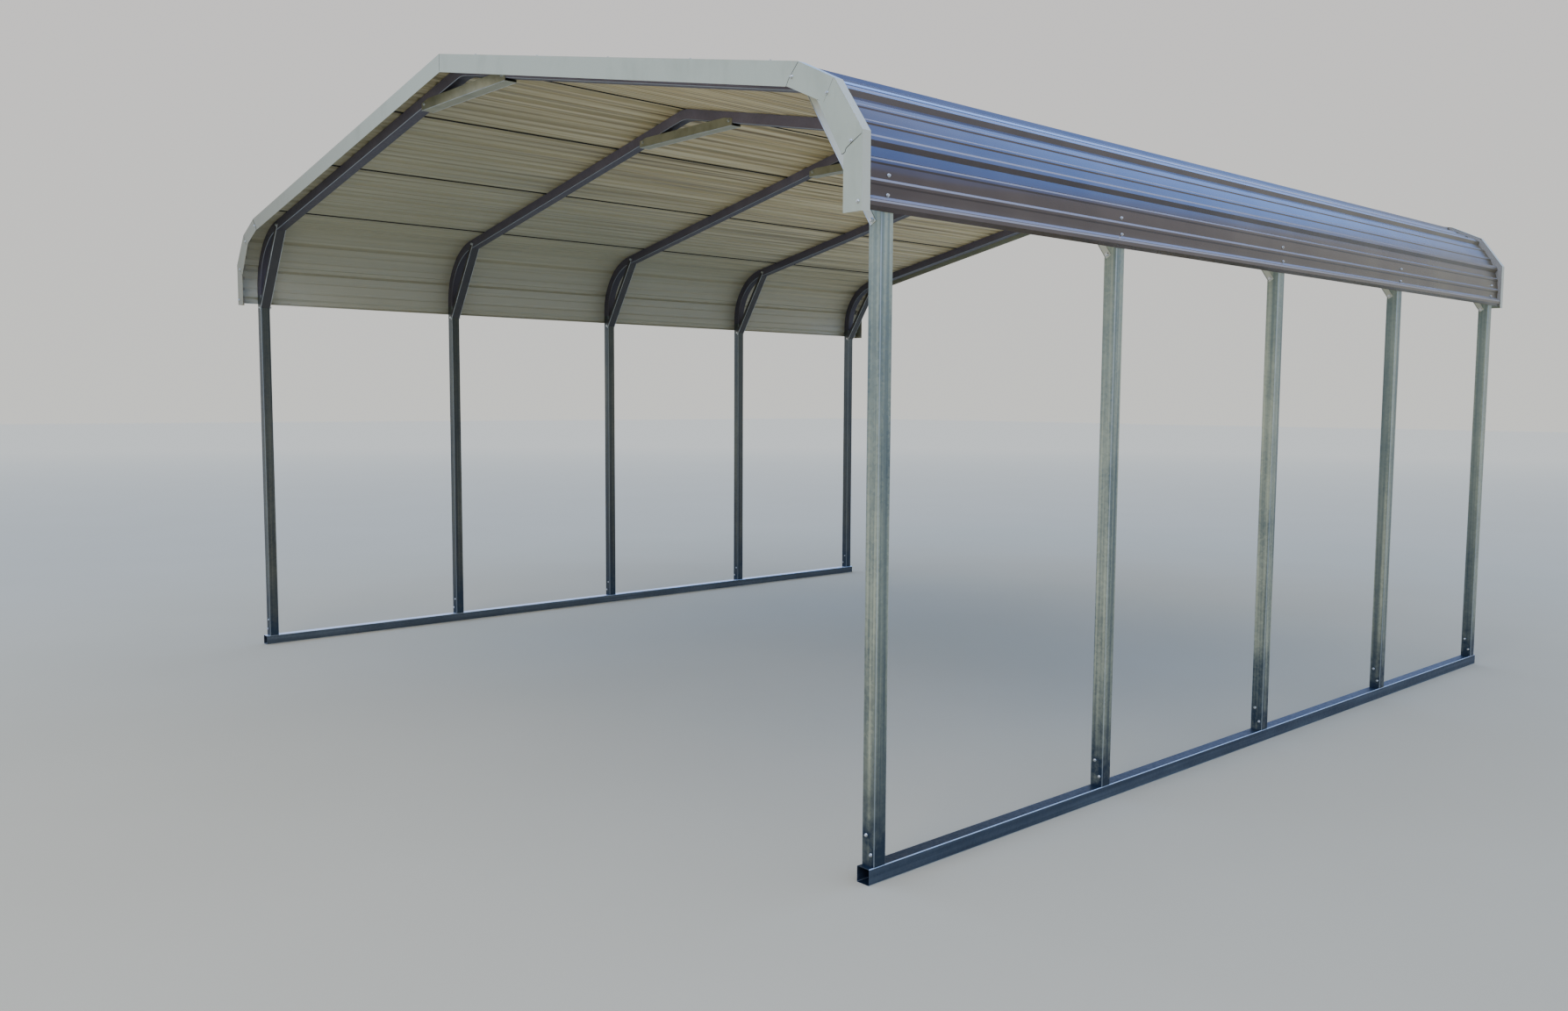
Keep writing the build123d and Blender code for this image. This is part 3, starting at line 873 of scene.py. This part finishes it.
def screw(mesh, point, normal):
    """The head's turn is worked out from the screw's place, so it is the same in each run."""
    place = place_on(point, normal)
    turn = (point[0] * 37 + point[1] * 53 + point[2] * 71) % 1.0
    stack(mesh, place, SCREW_WASHER, ROUND)
    stack(mesh, place, SCREW_COLLAR, ROUND)
    stack(mesh, place, SCREW_HEAD, HEXAGON, turn)


def roof_screw(mesh, sign, s, h, y):
    """Screw at a place on the unrolled roof, square to the sheet."""
    (x, z), (nx, nz) = on_roof(s, h)
    screw(mesh, (sign * x, y, z), (sign * nx, 0, nz))


print("screw finish:", screw_zinc.name)

# %% [markdown]
# ### Rows over the bows
#
# A screw goes through the flat of the sheet beside every rib of the slope, into the bow below. None
# holds the sheet on the bend, and two go into each leg, above and below the hem rib. Hand-set rows
# are never quite straight, so each screw is off its line by a few millimetres, worked out from its
# place instead of from chance.

# %% Roof screws
BESIDE_RIB = 0.105     # above the middle of a rib
BELOW_HEM_RIB = 0.034
ROW_START = 0.16       # nearest to the ridge
WANDER = 0.004
screw_total = 0
for side_name, sign in SIDES:
    rows = bmesh.new()
    for y in frame_ys:
        places = [(index, BESIDE_RIB) for index in range(RIB_STEPS + 1)] + [(0, BELOW_HEM_RIB)]
        for index, offset in places:
            s = sheet_end - RIB_BASE - index * rib_step - offset
            on_the_bend = index > 0 and s > slope_length
            if s < ROW_START or on_the_bend:
                continue
            roof_screw(rows, sign, s, SHEET, y + WANDER * sin(37 * s + y))
            screw_total += 1
    piece_from(f"{side_name}_roof_screws", rows, screw_zinc)
print(screw_total, "roof screws")

# %% [markdown]
# ### Cap and trim
#
# The ridge cap is screwed into the topmost ribs, and the trim through its face near each fold and
# seam, and through its return along the slope. Their places on the front face were measured in the
# photograph, and the other three gable halves repeat them in mirror image.

# %% Cap and trim screws
CAP_SCREWS = 12
CAP_MARGIN = 0.13
caps = bmesh.new()
for k in range(CAP_SCREWS):
    y = -roof_end + CAP_MARGIN + k * 2 * (roof_end - CAP_MARGIN) / (CAP_SCREWS - 1)
    for _, sign in SIDES:
        roof_screw(caps, sign, RIDGE_RIB, CROWN, y)
piece_from("ridge_cap_screws", caps, screw_zinc)

FACE_SCREWS = [(2.748, 2.990, PLATE), (2.936, 2.900, OVER_PLATE), (3.060, 2.714, OVER_PLATE),
               (3.096, 2.501, PLATE)]
SLOPE_SCREWS = [0.35, 0.95, 1.55, 2.15, 2.65]
RETURN_MIDDLE = 0.024    # behind the face of the trim
for end, way in ENDS:
    trim_screws = bmesh.new()
    for _, sign in SIDES:
        for x, z, (_, front) in FACE_SCREWS:
            screw(trim_screws, (sign * x, way * (face_y + front), z), (0, way, 0))
        for s in SLOPE_SCREWS:
            roof_screw(trim_screws, sign, s, EDGE, way * (face_y - RETURN_MIDDLE))
    piece_from(f"{end}_trim_screws", trim_screws, screw_zinc)

# %% [markdown]
# ### Feet and joints of the frames
#
# Each leg slips over a stub on the rail, held by two screws through its front face, and each bow
# slips over a sleeve in the leg's top, held by screws above and below the joint.

# %% Frame screws
FOOT_SCREWS = ((-0.010, 0.116), (0.015, 0.045))    # across from the leg's middle, above the rail
JOINT_SCREWS = (-0.05, 0.02)                       # below and above the leg's top
JOINT_OFFSET = 0.012
feet = bmesh.new()
joints = bmesh.new()
for _, sign in SIDES:
    for y in frame_ys:
        for aside, above in FOOT_SCREWS:
            screw(feet, (sign * (leg_x + aside), y - tube / 2, tube + above), (0, -1, 0))
        for above in JOINT_SCREWS:
            point = (sign * (half_width - tube), y + JOINT_OFFSET, leg_top + above)
            screw(joints, point, (-sign, 0, 0))
piece_from("leg_foot_screws", feet, screw_zinc)
piece_from("leg_joint_screws", joints, screw_zinc)

# %% [markdown]
# ## Bolts of the braces
#
# Each brace straddles the tubes, and one bolt at each end goes through all of them. The head is on
# the front side and the nut on the back, with the end of the thread past the nut. The bolts' places
# follow from the lean of the knee brace and the slope of the bow, as they do in the solids.

# %% Brace bolts
KNEE_LEAN = radians(33.0)
KNEE_INSET = 0.016        # of the lower bolt, from the leg's middle
KNEE_DROP = 0.086         # of the lower bolt, from the leg's top
PEAK_BOLT_INSET = 0.03    # from the end of the brace
PEAK_BOLT_RISE = 0.012    # from the under side of the bow
WASHER = [(0.0105, -0.0002), (0.0105, 0.0016)]
HEAD = [(0.0081, 0.0015), (0.0081, 0.0072), (0.0070, 0.0080)]
NUT = [(0.0081, 0.0015), (0.0081, 0.0080)]
THREAD = [(0.0047, 0.0078), (0.0047, 0.0125), (0.0040, 0.0132)]
# What sits on the front (-1) and back (1) of a brace: rings, corners and turn.
BOLT = [(-1, WASHER, 20, 0), (-1, HEAD, HEXAGON, 0.3),
        (1, WASHER, 20, 0), (1, NUT, HEXAGON, 0.7), (1, THREAD, 12, 0)]
knee_x = leg_x - KNEE_INSET
knee_z = leg_top - KNEE_DROP
knee_rise = ridge_z - tube / 2 / cos(PITCH) - knee_x * tan(PITCH) - knee_z
knee_span = knee_rise / (cos(KNEE_LEAN) - sin(KNEE_LEAN) * tan(PITCH))
brace_low, brace_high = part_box("right_knee_brace_1")
brace_half = (brace_high.y - brace_low.y) / 2
peak_low, peak_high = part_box("peak_brace_1")
peak_bolt_x = peak_high.x - PEAK_BOLT_INSET
peak_bolt_z = ridge_z - tube / cos(PITCH) - peak_bolt_x * tan(PITCH) + PEAK_BOLT_RISE


def bolt(mesh, x, y, z):
    for way, rings, corners, turn in BOLT:
        place = place_on((x, y + way * brace_half, z), (0, way, 0))
        stack(mesh, place, rings, corners, turn)


bolts = bmesh.new()
for _, sign in SIDES:
    for y in frame_ys:
        bolt(bolts, sign * knee_x, y, knee_z)
        bolt(bolts, sign * (knee_x - knee_span * sin(KNEE_LEAN)), y,
             knee_z + knee_span * cos(KNEE_LEAN))
        bolt(bolts, sign * peak_bolt_x, y, peak_bolt_z)
piece_from("brace_bolts", bolts, screw_zinc)

# %% [markdown]
# ## Folds of the braces
#
# A folded channel has rounded corners, which catch a thin line of light along their whole length.
# The solids have sharp corners, so a slim rod lies along each fold of a brace. It is the same zinc,
# smoother, and painted brighter as a painted highlight along the fold.

# %% Rounded folds
# Zinc painted brighter than the faces beside it, a painted highlight, and glossier.
fold_zinc_highlight = mottled("galvanised_channel_fold_painted_highlight", 50, 3.0, "#a9adac", "#cdd0cc",
                    Metallic=0.9, Roughness=0.35)
KNEE_DEPTH = 0.030
KNEE_END = 0.015        # of the brace, past its bolt
FOLD_RADIUS = 0.0024
FOLD_INSET = 0.001
FOLD_CORNERS = 10
fold_across = KNEE_DEPTH / 2 - FOLD_INSET


def knee_point(sign, y, along, across):
    """Point of a knee brace, along it from the lower bolt and across it to the inside."""
    x = knee_x - along * sin(KNEE_LEAN) - across * cos(KNEE_LEAN)
    return Vector((sign * x, y, knee_z + along * cos(KNEE_LEAN) - across * sin(KNEE_LEAN)))


def rod(mesh, start, end):
    rings = [(FOLD_RADIUS, 0), (FOLD_RADIUS, (end - start).length)]
    stack(mesh, place_on(start, end - start), rings, FOLD_CORNERS)


folds = bmesh.new()
peak_z = peak_low.z + FOLD_INSET
for y in frame_ys:
    for edge in (y - brace_half + FOLD_INSET, y + brace_half - FOLD_INSET):
        for _, sign in SIDES:
            rod(folds, knee_point(sign, edge, -KNEE_END, fold_across),
                knee_point(sign, edge, knee_span + KNEE_END, fold_across))
        rod(folds, Vector((peak_low.x, edge, peak_z)), Vector((peak_high.x, edge, peak_z)))
piece_from("brace_folds", folds, fold_zinc_highlight)

# %% [markdown]
# ## Floor
#
# The floor is plain, pale and matt, like a studio floor. It is staged, so it isn't part of the
# object. It gets a little paler far away, so its edge melts into the background.

# %% Floor
SIDE = 90.0
MOTTLE_MM = 1666.67
floor_mesh = bpy.data.meshes.new("studio_floor")
floor_mesh.from_pydata([(-SIDE, -SIDE, 0), (SIDE, -SIDE, 0), (SIDE, SIDE, 0), (-SIDE, SIDE, 0)],
                       [], [(0, 1, 2, 3)])
floor = bpy.data.objects.new("studio_floor", floor_mesh)
bpy.context.scene.collection.objects.link(floor)
# Matt floor paint: pale and warm, with no gloss at all.
floor_paint, tree, surface = new_material("matt_studio_floor")
spot = add(tree, "ShaderNodeNewGeometry")["Position"]
mottle = add(tree, "ShaderNodeTexNoise",
             {"Vector": spot, "Scale": per_metre(MOTTLE_MM), "Detail": 4.0})["Fac"]
tint = add(tree, "ShaderNodeValToRGB", {"Fac": mottle},
           [(0.3, "#bfb69c"), (0.7, "#c2b99f")])["Color"]
distance = add(tree, "ShaderNodeVectorMath", {0: spot}, operation="LENGTH")["Value"]
tint = lay_over(tree, tint, "#f2ddb4", distance, 5.0, 40.0)
set_inputs(tree, surface, {"Base Color": tint, "Roughness": 0.9, "Specular IOR Level": 0.0})
floor_mesh.materials.append(floor_paint)
print("floor:", floor.name, 2 * SIDE, "m wide")

# %% [markdown]
# ## Light
#
# The light could be a ring of lamps, but an even sky is closer to a bright day in the open shade.
# It is pale grey near the horizon, blue from about 25 to 40 degrees, which is what the glossy roof
# shows along its ribs, and warm white overhead. One large, soft lamp gives the shadows a direction.
#
# The sky is a ramp over how far up a direction points: 0 at the horizon and 1 straight up.

# %% Sky and lamp
SKY_STRENGTH = 3.0
SKY = [(0.0, "#91918e"), (0.30, "#918f8e"), (0.42, "#86b2ff"), (0.62, "#86b2ff"),
       (0.9, "#9c988d"), (1.0, "#9c988d")]
world = bpy.data.worlds.new("soft_sky")
bpy.context.scene.world = world
world.use_nodes = True
tree = world.node_tree
direction = add(tree, "ShaderNodeTexCoord")["Generated"]
up = add(tree, "ShaderNodeSeparateXYZ", {"Vector": direction})["Z"]
sky = add(tree, "ShaderNodeValToRGB", {"Fac": up}, SKY)["Color"]
set_inputs(tree, tree.nodes["Background"], {"Color": sky, "Strength": SKY_STRENGTH})


def area_light(name, place, target, size, power, colour):
    lamp = bpy.data.lights.new(name, "AREA")
    lamp.shape = "DISK"
    lamp.size = size
    lamp.energy = power
    lamp.color = linear(colour)[:3]
    holder = bpy.data.objects.new(name, lamp)
    holder.location = place
    aim = Vector(target) - Vector(place)
    holder.rotation_euler = aim.to_track_quat("-Z", "Y").to_euler()
    holder.visible_camera = False
    bpy.context.scene.collection.objects.link(holder)
    return holder


key_light = area_light("key_light", place=(4, -11, 9), target=(0, 0, 1), size=6, power=500,
                       colour="#fff6ea")
print("lamp", key_light.name, key_light.data.energy, "W")
